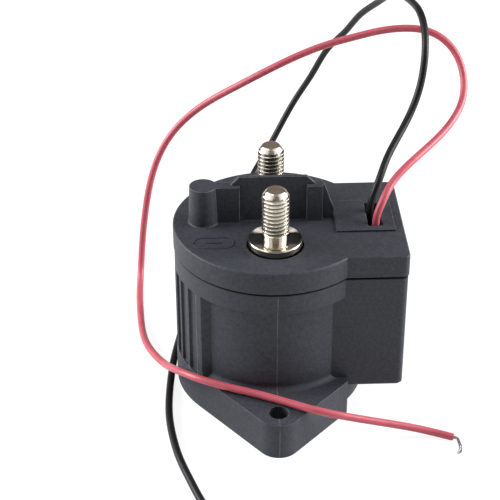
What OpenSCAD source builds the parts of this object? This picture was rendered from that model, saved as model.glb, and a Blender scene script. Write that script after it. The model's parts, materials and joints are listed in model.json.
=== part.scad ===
// High voltage direct current contactor: a sealed switch with two stud terminals,
// a two-hole mounting flange, a side box for the coil saver board and two coil leads.
// The mounting plane is z = 0, the drum's axis is the z axis and the side box faces +x.

/* [Body] */
// Radius of the collar and the rib faces
body_r = 29.7; // [29.4:0.1:31]
// Radius of the plain drum under the collar
drum_r = 27.5; // [27.4:0.1:28.8]
// Height of the case, from the mounting plane to the lid seam
case_h = 47.1; // [46.5:0.1:52]
// Height of the collar band below the lid seam
collar_h = 6.2; // [4:0.1:9]
// Wall of the drum
wall_t = 2.2; // [1.8:0.1:2.6]
// Thickness of the drum's floor
floor_t = 2.6; // [2:0.1:3.4]
// Radius of the hollow round the drum's foot, above the flange
foot_r = 2; // [1:0.1:2.2]

/* [Mounting flange] */
// Distance between the two mounting holes
hole_spacing = 76.2; // [74:0.1:80]
// Diameter of a mounting hole
hole_d = 5.9; // [5:0.1:6.6]
// Radius of the flange round each mounting hole
lobe_r = 6.35; // [5.5:0.05:8]
// Thickness of the flange
flange_t = 11.8; // [8:0.1:14]
// Distance from the axis to the flange's slanting sides away from the box
flange_r = 29.9; // [29:0.1:31]
// Distance from the axis to the flange's slanting sides towards the box
flange_box_r = 32; // [30:0.1:34]
// Distance of the flange's flat side under the box from the axis
flange_flat_x = 21.6; // [20:0.1:24]
// Width of the drum's foot past its wall, level with the flange
foot_w = 0.7; // [0.3:0.1:1.2]

/* [Side ribs] */
// Number of upright ribs on the side away from the box
rib_count = 9; // [5:2:9]
// Distance between two ribs
rib_pitch = 4.72; // [4.2:0.02:4.9]
// Thickness of a rib
rib_t = 1.1; // [0.8:0.1:2]
// Thickness of the two outer ribs
end_rib_t = 1.7; // [1:0.1:2.6]
// Height of the ribs above the wall between them
rib_h = 0.8; // [0.4:0.1:1.2]

/* [Side box] */
// Distance of the box's outer face from the axis
box_x = 38.4; // [37.8:0.1:42]
// Width of the box
box_w = 44; // [42:0.1:46]
// Height of the box's underside above the mounting plane
box_z = 8.5; // [6:0.1:14]
// Wall of the box
box_wall_t = 2; // [1.6:0.1:2.4]
// Radius of the box's upright edges
box_corner_r = 1.8; // [1.2:0.1:3]
// Bevel on the box's lower edges
box_bevel = 0.9; // [0.4:0.1:1.1]

/* [Lid] */
// Height of the lid's side
lid_t = 7.5; // [6.6:0.1:9]
// Thickness of the lid's roof
roof_t = 3.4; // [2.4:0.1:3.6]
// Bevel on the lid's top edge
lid_bevel = 0.35; // [0.2:0.05:0.6]
// Overhang of the lid past the collar and the box's outer face
lid_over = 0.25; // [0.1:0.05:1]
// Height of the shadow groove at the seam
groove_h = 0.6; // [0.2:0.05:0.8]
// Depth of the shadow groove at the seam
groove_d = 1.2; // [0.4:0.1:1.4]
// Depth of the lid's spigot in the drum
spigot_h = 2.5; // [1.5:0.1:4]
// Wall of the spigot
spigot_t = 1.4; // [1:0.1:2]
// Diameter of the hole round each terminal collar
stud_hole_d = 16.9; // [16.4:0.1:18]

/* [Terminal barrier] */
// Height of the barrier's posts and column above the lid
post_h = 11.9; // [10:0.1:13]
// Height of the thin wall above the lid
fence_h = 14.7; // [14:0.1:18]
// Thickness of the posts
post_t = 3.6; // [2.4:0.1:4.4]
// Thickness of the thin wall
fence_t = 1.1; // [0.8:0.1:2]
// Offset of the barrier's middle plane from the axis
barrier_y = 0.8; // [-1:0.1:1.5]
// Distance of each post's inner face from the axis
post_x = 10; // [9.6:0.1:11]
// Width of the right post
right_post_w = 4.7; // [3:0.1:5.4]
// Reach of the thin wall's sloping shoulders into the posts
shoulder_w = 2.7; // [1.5:0.1:4]
// Length of the sloping tail at the barrier's right end
tail_l = 3.5; // [2:0.1:4.5]
// Height of the tail's outer end above the lid
tail_h = 3.5; // [2:0.1:8]
// Distance of the column from the axis
column_x = 20.7; // [19.5:0.1:22]
// Diameter of the column at its foot
column_d = 9; // [8:0.1:10]
// Diameter of the column at its top
column_top_d = 8.1; // [7:0.1:8.8]

/* [Wire cover] */
// Length of the cover plate, away from the axis
cover_l = 17.5; // [16.5:0.1:18]
// Width of the cover plate
cover_w = 17.6; // [15:0.1:20]
// Distance of the cover plate's inner edge from the axis
cover_x = 18.4; // [18.3:0.1:19]
// Offset of the cover plate's middle from the axis
cover_y = 1; // [-1:0.1:2]
// Height of the cover plate above the lid
cover_proud = 0.6; // [0.4:0.1:1.2]
// Width of the edge by which the plate rests on the lid
cover_land = 1; // [0.6:0.1:1.4]
// Depth of the cover's plug in the lid
plug_h = 2; // [1:0.1:2.2]
// Length of the wire slot
slot_l = 13.5; // [12:0.1:14]
// Width of the wire slot
slot_w = 4.5; // [4:0.1:4.8]
// Distance of the wire slot's middle from the axis
slot_x = 30.2; // [30:0.1:30.5]
// Offset of the wire slot's middle along the barrier's normal
slot_y = 1.3; // [1:0.1:1.5]

/* [Terminals] */
// Thread diameter of the terminal studs
stud_d = 8; // [8:1:10]
// Distance between the two studs
stud_spacing = 27.2; // [26:0.1:28]
// Height of a stud's tip above the lid
stud_reach = 18.2; // [16:0.1:24]
// Diameter of the seat under a cable lug
lug_seat_d = 15.8; // [14:0.1:16]
// Height of the seat above the lid
lug_seat_proud = 2.2; // [1:0.1:4]
// Diameter of the plain neck between seat and thread
neck_d = 6.7; // [5:0.1:6.7]
// Length of the plain neck
neck_l = 2.1; // [2.1:0.1:4]
// Diameter of the flat at a stud's tip
tip_flat_d = 5; // [3:0.1:5.4]
// Height of a stud's rounded tip
tip_h = 1.9; // [1:0.1:3]
// Roundness of a stud's tip, where 1 is a plain chamfer
tip_round = 1.45; // [1.1:0.05:2]
// Diameter of a stud's shank inside the chamber
shank_d = 9; // [8:0.1:10]
// Length of a stud's shank below the chamber's top
shank_l = 9; // [7:0.1:10]

/* [Contacts] */
// Diameter of a contact tip
tip_d = 8; // [6:0.1:8.6]
// Thickness of a contact tip
tip_t = 1.1; // [0.6:0.1:1.6]
// Width of the contact bridge
bridge_w = 9; // [8:0.1:11]
// Thickness of the contact bridge
bridge_t = 3; // [2:0.1:3.6]
// Stroke of the plunger
travel = 2.8; // [2.2:0.1:3.2]
// Part of the stroke that squeezes the contact spring
overtravel = 0.8; // [0.4:0.1:1]

/* [Arc chamber] */
// Width of the chamber, across the line of the studs
chamber_w = 23.2; // [21:0.1:24]
// Wall of the chamber
chamber_wall_t = 2.6; // [2:0.1:3]
// Thickness of the chamber's top
chamber_roof_t = 4; // [3:0.1:5]
// Radius of the chamber's upright edges
chamber_corner_r = 5; // [3.5:0.1:7]
// Thickness of a blow-out magnet
magnet_t = 3; // [2:0.1:3.4]
// Length of a blow-out magnet
magnet_l = 22; // [16:0.5:24]
// Thickness of a magnet's keeper
keeper_t = 1.5; // [1:0.1:1.8]

/* [Magnet system] */
// Height of the coil former
coil_h = 19; // [17:0.1:20]
// Wall of the yoke cup
cup_t = 2.2; // [1.6:0.1:2.6]
// Thickness of the yoke cup's base
cup_base_t = 2.4; // [1.6:0.1:3]
// Thickness of the yoke plate
plate_t = 3; // [2.4:0.1:4]
// Diameter of the armature and the pole piece
pole_d = 12; // [11:0.1:14]
// Length of the pole piece below the yoke plate's top
pole_l = 9.5; // [8.5:0.1:11]
// Diameter of the plunger shaft
shaft_d = 4; // [3.4:0.1:4.4]
// Wall of the armature's guide sleeve
sleeve_t = 0.5; // [0.3:0.1:0.8]

/* [Leads] */
// Outer diameter of a lead
lead_d = 2.3; // [1.6:0.1:2.4]
// Diameter of the bare wire at a lead's end
strand_d = 1.1; // [0.6:0.1:1.4]

/* [Hidden] */
$fn = 96;
// Flats round a wire and rings in a spring's turn
flats = 8;
helix_steps = 14;
// Overlap that keeps cuts clean
cut = 0.05;
// Clearance between parts that are set into one another
fit = 0.3;
// Radial clearance of a sliding part in its guide
slide_fit = 0.05;
// Radial clearance of a part pushed on to another
push_fit = 0.02;
// Space left between faces that meet only at the end of a stroke
touch = 0.05;

// Heights of the lid
lid_top = case_h + lid_t;
roof_z = lid_top - roof_t;
// Heights of the magnet system, from the drum's floor up
cup_z = floor_t;
coil_z = cup_z + cup_base_t;
plate_z = coil_z + coil_h;
plate_top = plate_z + plate_t;
pole_z = plate_top - pole_l;
cushion_t = 0.8;
cushion_z = coil_z + sleeve_t;
armature_z = cushion_z + cushion_t + touch;
pole_gap = 0.2;
armature_top = pole_z - travel - pole_gap;
// Heights of the arc chamber and the contacts
braze_t = 0.5;
braze_inset = 0.2;
frame_t = 0.8;
frame_top = plate_top + frame_t;
ceiling_z = roof_z - chamber_roof_t;
shank_z = roof_z - shank_l;
fixed_contact_z = shank_z - tip_t;
contact_gap = travel - overtravel + touch;
bridge_top = fixed_contact_z - contact_gap - tip_t;
bridge_z = bridge_top - bridge_t;
bush_flange_t = 1;
bush_proud = 0.3;
spring_top = bridge_z - bush_flange_t;
seat_t = 1;
seat_z = plate_top + fit;
spring_z = seat_z + seat_t;
clip_t = 0.7;
shaft_end = 1.2;
clip_z = bridge_top + bush_proud + touch;
shaft_top = clip_z + clip_t + shaft_end;

// Radii round the axis
cavity_r = drum_r - wall_t;
inset_r = cavity_r - fit;
lid_inner_r = cavity_r - slide_fit - spigot_t;
cup_inner_r = inset_r - cup_t;
sleeve_r = pole_d / 2 + 2 * slide_fit + sleeve_t;
bobbin_r = sleeve_r + 2 * slide_fit;
bobbin_wall_t = 1;
bobbin_flange_t = 1.2;
winding_inset = 1;
winding_r = cup_inner_r - fit - winding_inset;
notch_w = 6;
spring_room = 2.2;
spring_pocket_r = shaft_d / 2 + spring_room;
guide_bush_t = 1.5;
guide_bush_r = shaft_d / 2 + guide_bush_t;
guide_bush_l = 5;
pole_head_w = 2;
pole_head_r = pole_d / 2 + pole_head_w;
pole_head_t = 1;
pole_pocket_h = 3.5;
armature_pocket_h = 3;
spring_seat_w = 3;
spring_seat_r = shaft_d / 2 + spring_seat_w;
clip_groove = 0.4;
clip_inner_r = shaft_d / 2 - clip_groove;
clip_w = 2;
bush_t = 1.4;
bush_r = shaft_d / 2 + bush_t;

// Lengths along the line of the studs
bridge_half_l = stud_spacing / 2 + bridge_w / 2;
bridge_play = 0.7;
chamber_half_l = bridge_half_l + bridge_play + chamber_wall_t;
magnet_x = chamber_w / 2 + fit;
magnet_play = 0.1;
keeper_x = magnet_x + magnet_t + magnet_play;
magnet_foot = 1;
magnet_z = plate_top + magnet_foot;
keeper_over = 2;
chamber_play = 0.2;
holder_top = case_h - spigot_h - fit;
// The exhaust tube passes over the magnet holder and up into the column
tube_d = 3.2;
tube_wall_t = 0.6;
tube_play = 0.6;
tube_z = holder_top + fit + tube_d / 2;
column_cap_t = 2.5;
column_bore_top = lid_top + post_h - column_cap_t;
tube_top = column_bore_top - 1.5 * tube_play;

// The coil saver board stands in the side box
box_floor_z = box_z + box_wall_t;
box_inner_r = 1;
board_t = 1.6;
board_play = 0.4;
board_x = box_x - box_wall_t - board_play - board_t;
board_w = 34;
board_head = 1;
board_h = case_h - box_floor_z - board_head;

// Routes of the leads, from the board through the slot to the bare ends
red_route = [
    [board_x - 1.4, -3.5, 41], [board_x - 1.8, -3.5, 46], [31, -3.5, 51.5],
    [30.5, -3.5, 56.5], [32.2, -2, 61.1], [35, 2, 64.5], [41, 8, 68.2],
    [49.9, 17, 71.2], [57.3, 26.5, 74.3], [60.9, 34, 78.1], [61.3, 39, 82.6],
    [58.7, 43.5, 88.8], [51.9, 46.5, 93.7], [42.1, 48.5, 94.4], [35.1, 49.5, 93.1],
    [28.3, 50, 91.2], [20.1, 50, 88.9], [10.4, 49.5, 85.3], [-8.9, 52, 73.9],
    [-22.8, 56.5, 62.9], [-29.8, 56.5, 55.7], [-34.7, 55.5, 47.8], [-37.9, 54, 39],
    [-40.1, 53, 28], [-42, 54, 12], [-42.6, 51.5, 5], [-42.9, 44, 1.5],
    [-42.5, 32.5, 1.2], [-41.5, 20, 1.5], [-39, 8, 3.2], [-34.1, -4.5, 6.1],
    [-29.1, -16, 11.4], [-23.1, -23, 13.6], [-14.1, -27.4, 13.4], [-5.2, -31, 13.1],
    [3.1, -35.2, 13.1], [11.5, -39.4, 13.1], [20.7, -39, 10.2], [29.9, -37.3, 6.7],
    [39.5, -36.2, 3.5], [46.5, -36.5, 1.6], [52, -38.5, 1.2]
];
red_strand_route = [
    [52, -38.5, 1.2], [52.75, -38.773, 1.145], [53.3, -40.6, 1], [53.4, -43, 0.8], [52.6, -45.5, 0.7]
];
black_route = [
    [board_x - 1.4, 3, 41], [board_x - 1.8, 3, 46], [29.8, 3, 51.5],
    [29.5, 3.5, 57], [32, 6.5, 63.5], [35.1, 13, 67.7], [39.5, 20, 72],
    [43.1, 25, 76.2], [45.8, 28.5, 81.6], [47.5, 31.5, 88.5], [48.2, 35, 94.5],
    [48.4, 40, 98], [48, 47, 100], [47, 56.5, 99.5], [45.2, 66, 98.1],
    [42.8, 77, 94.1], [40, 88, 86.8], [34.9, 98, 77.7], [30.7, 105, 68.4],
    [25.7, 110, 60.3], [20, 114, 47.6], [14.9, 115.5, 38.1], [9.8, 114.5, 28.8],
    [5.6, 111.5, 21.9], [1.8, 106.5, 17.7], [-1.5, 101, 14.7], [-6.5, 92.5, 9],
    [-11.5, 82, 4], [-15.5, 70, 1.6], [-19.5, 57, 1.2], [-24, 42, 1.2],
    [-29.5, 15, 1.2], [-31.1, 4.5, 1.2], [-32, -5.5, 1.2], [-32.5, -15.5, 1.2],
    [-32.4, -25, 1.2], [-31, -36.5, 1.2], [-29.2, -45, 1.2], [-26.4, -54, 1.2],
    [-23.3, -63, 1.2], [-22.3, -65.5, 1.2]
];
black_strand_route = [[-22.3, -65.5, 1.2], [-21.8, -66.54, 1.2], [-20.6, -68.6, 1], [-19, -70.7, 0.8]];

// Colours
charcoal = [0.17, 0.175, 0.19];
nickel = [0.78, 0.75, 0.7];
copper = [0.8, 0.5, 0.32];
silver = [0.85, 0.85, 0.85];
steel = [0.6, 0.62, 0.65];
brass = [0.8, 0.68, 0.35];
ceramic = [0.93, 0.91, 0.87];
nylon = [0.86, 0.84, 0.76];

// Unit vector along v
function unit(v) = v / norm(v);

// Direction of a path at each of its points
function directions(path) = [
    for (i = [0 : len(path) - 1])
        unit(path[min(i + 1, len(path) - 1)] - path[max(i - 1, 0)])
];

// Side vector at each point, carried along the path so that a tube doesn't twist
function side_vectors(dirs) = [
    for (
        i = 0, n = unit(cross(dirs[0], [0.3, 0.2, 0.9]));
        i < len(dirs);
        i = i + 1, n = unit(n - (n * dirs[min(i, len(dirs) - 1)]) * dirs[min(i, len(dirs) - 1)])
    ) n
];

// Points of a helix from z0 to z1, a ring every 360 / steps degrees
function helix(r, z0, z1, turns, steps) = [
    for (i = [0 : turns * steps])
        let (a = 360 * i / steps)
        [r * cos(a), r * sin(a), z0 + (z1 - z0) * i / (turns * steps)]
];

// Round wire of diameter d along a path
module wire(path, d) {
    dirs = directions(path);
    across = side_vectors(dirs);
    rings = len(path);
    points = [
        for (i = [0 : rings - 1], k = [0 : flats - 1])
            let (a = 360 * k / flats)
            path[i] + d / 2 * (cos(a) * across[i] + sin(a) * cross(dirs[i], across[i]))
    ];
    walls = [
        for (i = [0 : rings - 2], k = [0 : flats - 1])
            let (m = (k + 1) % flats)
            [i * flats + k, (i + 1) * flats + k, (i + 1) * flats + m, i * flats + m]
    ];
    first_end = [for (k = [0 : flats - 1]) k];
    last_end = [for (k = [flats - 1 : -1 : 0]) (rings - 1) * flats + k];
    polyhedron(points, concat(walls, [first_end, last_end]));
}

module at_studs() {
    for (side = [-1, 1])
        translate([0, side * stud_spacing / 2, 0]) children();
}

module ring(r_out, r_in, h) {
    difference() {
        cylinder(r = r_out, h = h);
        translate([0, 0, -cut]) cylinder(r = r_in, h = h + 2 * cut);
    }
}

// Rectangle with four round corners, centred
module round_rect(w, l, r) {
    square([w, l - 2 * r], center = true);
    square([w - 2 * r, l], center = true);
    for (x = [-1, 1], y = [-1, 1])
        translate([x * (w / 2 - r), y * (l / 2 - r)]) circle(r);
}

// Rectangle from the axis to x1 with two round corners on the far side
module box_outline(x1, half_w, r) {
    translate([0, -half_w]) square([x1 - r, 2 * half_w]);
    translate([0, r - half_w]) square([x1, 2 * (half_w - r)]);
    for (y = [-1, 1])
        translate([x1 - r, y * (half_w - r)]) circle(r);
}

// Block on box_outline with a bevel round its top edge: two crossed bars and two corner posts
module bevelled_box(x1, half_w, r, h, bevel) {
    bevel_z = h - bevel;
    translate([0, half_w - r, 0]) rotate([90, 0, 0]) linear_extrude(2 * (half_w - r))
        polygon([[0, 0], [x1, 0], [x1, bevel_z], [x1 - bevel, h], [0, h]]);
    rotate([90, 0, 90]) linear_extrude(x1 - r) polygon([
        [-half_w, 0], [half_w, 0], [half_w, bevel_z],
        [half_w - bevel, h], [bevel - half_w, h], [-half_w, bevel_z]
    ]);
    for (y = [-1, 1])
        translate([x1 - r, y * (half_w - r), 0]) rotate_extrude()
            polygon([[0, 0], [r, 0], [r, bevel_z], [r - bevel, h], [0, h]]);
}

// Side of the flange towards +x: a circle of radius r and tangents from it to the lobe round each hole
module flange_side(r) {
    lean = acos((r - lobe_r) / (hole_spacing / 2));
    lobe_x = lobe_r * sin(lean);
    lobe_y = hole_spacing / 2 + lobe_r * cos(lean);
    circle(r);
    polygon([
        [0, -hole_spacing / 2], [lobe_x, -lobe_y], [r * sin(lean), -r * cos(lean)],
        [r * sin(lean), r * cos(lean)], [lobe_x, lobe_y], [0, hole_spacing / 2]
    ]);
}

// Rhombic flange, wider towards the box and cut flat under it, with the drum's foot standing past the flat
module flange() {
    reach = hole_spacing / 2 + lobe_r;
    linear_extrude(flange_t) {
        circle(drum_r + foot_w);
        for (side = [-1, 1])
            translate([0, side * hole_spacing / 2]) circle(lobe_r);
        intersection() {
            flange_side(flange_box_r);
            translate([0, -reach]) square([flange_flat_x, 2 * reach]);
        }
        intersection() {
            mirror([1, 0]) flange_side(flange_r);
            translate([-reach, -reach]) square([reach + cut, 2 * reach]);
        }
    }
}

// Hollow round that leads from the drum's wall on to the flange
module drum_foot() {
    rotate_extrude() difference() {
        translate([drum_r - wall_t / 2, flange_t - cut]) square([foot_r + wall_t / 2, foot_r]);
        translate([drum_r + foot_r, flange_t + foot_r]) circle(foot_r + cut);
    }
}

// Upright bar of the ribbed side, from a cylinder of radius r inwards
module rib_bar(r, y, thickness) {
    intersection() {
        cylinder(r = r, h = case_h - collar_h + cut);
        translate([-body_r, y - thickness / 2, flange_t / 2]) cube([body_r / 2, thickness, case_h]);
    }
}

// Upright ribs whose faces lie on the body circle, on a raised wall, with sides along the mould's draw
module side_ribs() {
    span = (rib_count - 1) * rib_pitch;
    rib_bar(body_r - rib_h, 0, span);
    for (i = [1 : rib_count - 2])
        rib_bar(body_r, i * rib_pitch - span / 2, rib_t);
    for (side = [-1, 1])
        rib_bar(body_r, side * span / 2, end_rib_t);
}

module case() {
    color(charcoal) difference() {
        union() {
            cylinder(r = drum_r, h = case_h);
            translate([0, 0, case_h - collar_h]) cylinder(r = body_r, h = collar_h);
            side_ribs();
            flange();
            drum_foot();
            translate([0, 0, case_h]) mirror([0, 0, 1])
                bevelled_box(box_x, box_w / 2, box_corner_r, case_h - box_z, box_bevel);
        }
        translate([0, 0, floor_t]) cylinder(r = cavity_r, h = case_h);
        translate([0, 0, box_floor_z]) linear_extrude(case_h) difference() {
            box_outline(box_x - box_wall_t, box_w / 2 - box_wall_t, box_inner_r);
            circle(drum_r);
        }
        translate([cavity_r - wall_t, -notch_w / 2, plate_z - notch_w]) cube([3 * wall_t, notch_w, notch_w]);
        for (side = [-1, 1])
            translate([0, side * hole_spacing / 2, -cut]) cylinder(d = hole_d, h = flange_t + 2 * cut);
    }
}

// Outline of the lid, set in by a distance
module lid_outline(inset) {
    circle(body_r + lid_over - inset);
    box_outline(box_x + lid_over - inset, box_w / 2 - inset, box_corner_r);
}

module lid_block() {
    lid_r = body_r + lid_over;
    translate([0, 0, case_h]) {
        cylinder(r = lid_r, h = lid_t - lid_bevel);
        translate([0, 0, lid_t - lid_bevel]) cylinder(r1 = lid_r, r2 = lid_r - lid_bevel, h = lid_bevel);
        bevelled_box(box_x + lid_over, box_w / 2, box_corner_r, lid_t, lid_bevel);
    }
}

// A slab of the barrier: an x-z outline given a thickness about the barrier's middle plane
module barrier_slab(outline, thickness) {
    translate([0, barrier_y + thickness / 2, lid_top]) rotate([90, 0, 0])
        linear_extrude(thickness) polygon(outline);
}

// Fence between the studs: a column and two posts with a thin wall and a sloping tail
module barrier() {
    root = -roof_t / 2;
    right_x = post_x + right_post_w;
    tail_x = right_x + tail_l;
    column_foot_w = 0.5;
    column_foot_h = 0.9;
    tail_lap = 1;
    tail_ledge = 0.5;
    translate([-column_x, barrier_y, lid_top + root])
        cylinder(d = column_d, h = -root);
    translate([-column_x, barrier_y, lid_top])
        cylinder(d1 = column_d, d2 = column_top_d, h = post_h);
    translate([-column_x, barrier_y, lid_top - cut])
        cylinder(d1 = column_d + column_foot_w, d2 = column_top_d, h = column_foot_h);
    barrier_slab([[-column_x, root], [-post_x, root], [-post_x, post_h], [-column_x, post_h]], post_t);
    barrier_slab([[post_x, root], [right_x, root], [right_x, post_h], [post_x, post_h]], post_t);
    barrier_slab([
        [-post_x - shoulder_w, root], [post_x + shoulder_w, root],
        [post_x + shoulder_w, post_h - cut], [post_x, fence_h],
        [-post_x, fence_h], [-post_x - shoulder_w, post_h - cut]
    ], fence_t);
    barrier_slab([
        [right_x - tail_lap, root], [tail_x, root], [tail_x, tail_h],
        [right_x + tail_ledge, post_h], [right_x - tail_lap, post_h]
    ], fence_t);
}

// C-shaped spigot that centres the lid in the drum, open towards the side box
module spigot() {
    root = lid_t / 4;
    translate([0, 0, case_h - spigot_h]) difference() {
        ring(lid_inner_r + spigot_t, lid_inner_r, spigot_h + root);
        translate([0, 0, -cut]) linear_extrude(spigot_h + root + 2 * cut)
            box_outline(box_x, box_w / 2 - box_wall_t, box_inner_r);
    }
}

// Window in the lid under the wire cover
module cover_window(inset, h) {
    land = cover_land + inset;
    translate([cover_x + land, cover_y - cover_w / 2 + land, 0])
        cube([cover_l - 2 * land, cover_w - 2 * land, h]);
}

module lid() {
    color(charcoal) difference() {
        union() {
            lid_block();
            barrier();
            spigot();
        }
        translate([0, 0, case_h - cut]) linear_extrude(roof_z - case_h + cut) {
            circle(lid_inner_r);
            box_outline(box_x - box_wall_t, box_w / 2 - box_wall_t, box_inner_r);
        }
        translate([0, 0, case_h - cut]) linear_extrude(groove_h + cut) difference() {
            square(4 * box_x, center = true);
            lid_outline(groove_d);
        }
        at_studs() translate([0, 0, roof_z - cut]) cylinder(d = stud_hole_d, h = roof_t + 2 * cut);
        translate([0, 0, roof_z - cut]) cover_window(0, roof_t + 2 * cut);
        translate([-column_x, barrier_y, roof_z - cut])
            cylinder(d = tube_d + 2 * tube_play, h = column_bore_top - roof_z + cut);
    }
}

module wire_cover() {
    color(charcoal) difference() {
        union() {
            translate([cover_x, cover_y - cover_w / 2, lid_top]) cube([cover_l, cover_w, cover_proud]);
            translate([0, 0, lid_top - plug_h]) cover_window(fit / 2, plug_h + cut);
        }
        translate([slot_x - slot_w / 2, slot_y - slot_l / 2, lid_top - plug_h - cut])
            cube([slot_w, slot_l, plug_h + cover_proud + 2 * cut]);
    }
}

// Terminal stud about the z axis: shank, lug seat, plain neck, thread and rounded tip
module stud() {
    seat_top = lid_top + lug_seat_proud;
    thread_z = seat_top + neck_l;
    thread_top = lid_top + stud_reach - tip_h;
    seat_bevel = 0.4;
    braze_top = roof_z + braze_t;
    round_w = (stud_d - tip_flat_d) / 2;
    tip_steps = 8;
    color(nickel) {
        translate([0, 0, shank_z]) cylinder(d = shank_d, h = braze_top - shank_z + cut);
        translate([0, 0, braze_top]) cylinder(d = lug_seat_d, h = seat_top - seat_bevel - braze_top);
        translate([0, 0, seat_top - seat_bevel])
            cylinder(d1 = lug_seat_d, d2 = lug_seat_d - 2 * seat_bevel, h = seat_bevel);
        translate([0, 0, seat_top - cut]) cylinder(d = neck_d, h = neck_l + 2 * cut);
        translate([0, 0, thread_z]) cylinder(d = stud_d, h = thread_top - thread_z);
        translate([0, 0, thread_top]) rotate_extrude() polygon(concat(
            [[0, 0]],
            [
                for (i = [0 : tip_steps])
                    let (t = i / tip_steps)
                    [stud_d / 2 - round_w * t, tip_h * (1 - pow(1 - t, tip_round))]
            ],
            [[0, tip_h]]
        ));
    }
}

module front_stud() {
    translate([0, -stud_spacing / 2, 0]) stud();
}

module rear_stud() {
    translate([0, stud_spacing / 2, 0]) stud();
}

module stud_braze_rings() {
    color(silver) at_studs() translate([0, 0, roof_z])
        ring(lug_seat_d / 2 - braze_inset, shank_d / 2 + slide_fit, braze_t);
}

module fixed_contact_tips() {
    color(silver) at_studs() translate([0, 0, fixed_contact_z]) cylinder(d = tip_d, h = tip_t);
}

// Ceramic cup, open at the bottom, brazed on to the seal frame
module arc_chamber() {
    inner_r = chamber_corner_r - chamber_wall_t;
    color(ceramic) difference() {
        translate([0, 0, frame_top]) linear_extrude(roof_z - frame_top)
            round_rect(chamber_w, 2 * chamber_half_l, chamber_corner_r);
        translate([0, 0, frame_top - cut]) linear_extrude(ceiling_z - frame_top + cut)
            round_rect(chamber_w - 2 * chamber_wall_t, 2 * (chamber_half_l - chamber_wall_t), inner_r);
        at_studs() translate([0, 0, ceiling_z - cut])
            cylinder(d = shank_d + 2 * slide_fit, h = chamber_roof_t + 2 * cut);
        translate([-chamber_w / 2 - cut, barrier_y, tube_z]) rotate([0, 90, 0])
            cylinder(d = tube_d + 2 * slide_fit, h = chamber_wall_t + 2 * cut);
    }
}

module seal_frame() {
    rim = 0.6;
    color(steel) translate([0, 0, plate_top]) linear_extrude(frame_t) difference() {
        round_rect(chamber_w, 2 * chamber_half_l, chamber_corner_r);
        round_rect(
            chamber_w - 2 * chamber_wall_t + 2 * rim,
            2 * (chamber_half_l - chamber_wall_t + rim),
            chamber_corner_r - chamber_wall_t + rim
        );
    }
}

// Insulating tray on the yoke plate, open in the middle for the spring
module insulator_tray() {
    tray_t = 1;
    rim_h = 3;
    rim_t = 1;
    hole_r = spring_seat_r + 1;
    color(nylon) translate([0, 0, plate_top]) {
        linear_extrude(tray_t) difference() {
            round_rect(
                chamber_w - 2 * chamber_wall_t - 2 * fit,
                2 * (chamber_half_l - chamber_wall_t - fit),
                chamber_corner_r - chamber_wall_t
            );
            circle(hole_r);
        }
        ring(hole_r + rim_t, hole_r, rim_h);
    }
}

// Plate set beside the chamber, on both sides of the contacts
module side_plates(x, thickness, length) {
    for (side = [-1, 1])
        translate([side > 0 ? x : -x - thickness, -length / 2, magnet_z])
            cube([thickness, length, holder_top - magnet_z - fit]);
}

module blowout_magnets() {
    color(steel) side_plates(magnet_x, magnet_t, magnet_l);
}

module magnet_keepers() {
    color(steel) side_plates(keeper_x, keeper_t, magnet_l + keeper_over);
}

// Moulded frame that fills the drum round the chamber and pockets the magnets
module magnet_holder() {
    pocket_x = keeper_x + keeper_t + magnet_play;
    pocket_l = magnet_l + keeper_over + 2 * magnet_play;
    color(nylon) translate([0, 0, plate_top]) difference() {
        cylinder(r = inset_r, h = holder_top - plate_top);
        translate([0, 0, -cut]) linear_extrude(holder_top) round_rect(
            chamber_w + 2 * chamber_play,
            2 * (chamber_half_l + chamber_play),
            chamber_corner_r + chamber_play
        );
        translate([-pocket_x, -pocket_l / 2, magnet_z - plate_top])
            cube([2 * pocket_x, pocket_l, holder_top]);
    }
}

// Bent tube through which the chamber is emptied, closed at its top end
module exhaust_tube() {
    bore_d = tube_d - 2 * tube_wall_t;
    inner_x = chamber_w / 2 - chamber_wall_t;
    pinch_h = 1.5;
    color(copper) difference() {
        union() {
            translate([-column_x, barrier_y, tube_z]) {
                sphere(d = tube_d);
                cylinder(d = tube_d, h = tube_top - pinch_h - tube_z);
                rotate([0, 90, 0]) cylinder(d = tube_d, h = column_x - inner_x);
            }
            translate([-column_x, barrier_y, tube_top - pinch_h])
                cylinder(d1 = tube_d, d2 = tube_d / 4, h = pinch_h);
        }
        translate([-column_x, barrier_y, tube_z]) {
            cylinder(d = bore_d, h = tube_top - 2 * pinch_h - tube_z);
            rotate([0, 90, 0]) cylinder(d = bore_d, h = column_x);
        }
    }
}

module yoke_plate() {
    color(steel) difference() {
        translate([0, 0, plate_z]) cylinder(r = inset_r, h = plate_t);
        translate([0, 0, plate_z - cut]) cylinder(d = pole_d + 2 * slide_fit, h = plate_t + 2 * cut);
        translate([0, 0, plate_top - pole_head_t])
            cylinder(r = pole_head_r + slide_fit, h = pole_head_t + cut);
    }
}

// Steel cup round the coil, notched for the coil's tails
module yoke_cup() {
    color(steel) difference() {
        translate([0, 0, cup_z]) cylinder(r = inset_r, h = plate_z - cup_z);
        translate([0, 0, coil_z]) cylinder(r = cup_inner_r, h = coil_h + cut);
        translate([0, -notch_w / 2, plate_z - notch_w]) cube([drum_r, notch_w, notch_w + cut]);
    }
}

// Fixed core: head sunk in the yoke plate, bush seat above, spring pocket below
module pole_piece() {
    color(steel) difference() {
        union() {
            translate([0, 0, pole_z]) cylinder(d = pole_d, h = pole_l);
            translate([0, 0, plate_top - pole_head_t]) cylinder(r = pole_head_r, h = pole_head_t);
        }
        translate([0, 0, pole_z - cut]) cylinder(d = shaft_d + 2 * fit, h = pole_l + 2 * cut);
        translate([0, 0, plate_top - guide_bush_l])
            cylinder(r = guide_bush_r + push_fit, h = guide_bush_l + cut);
        translate([0, 0, pole_z - cut]) cylinder(r = spring_pocket_r, h = pole_pocket_h + cut);
    }
}

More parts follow.
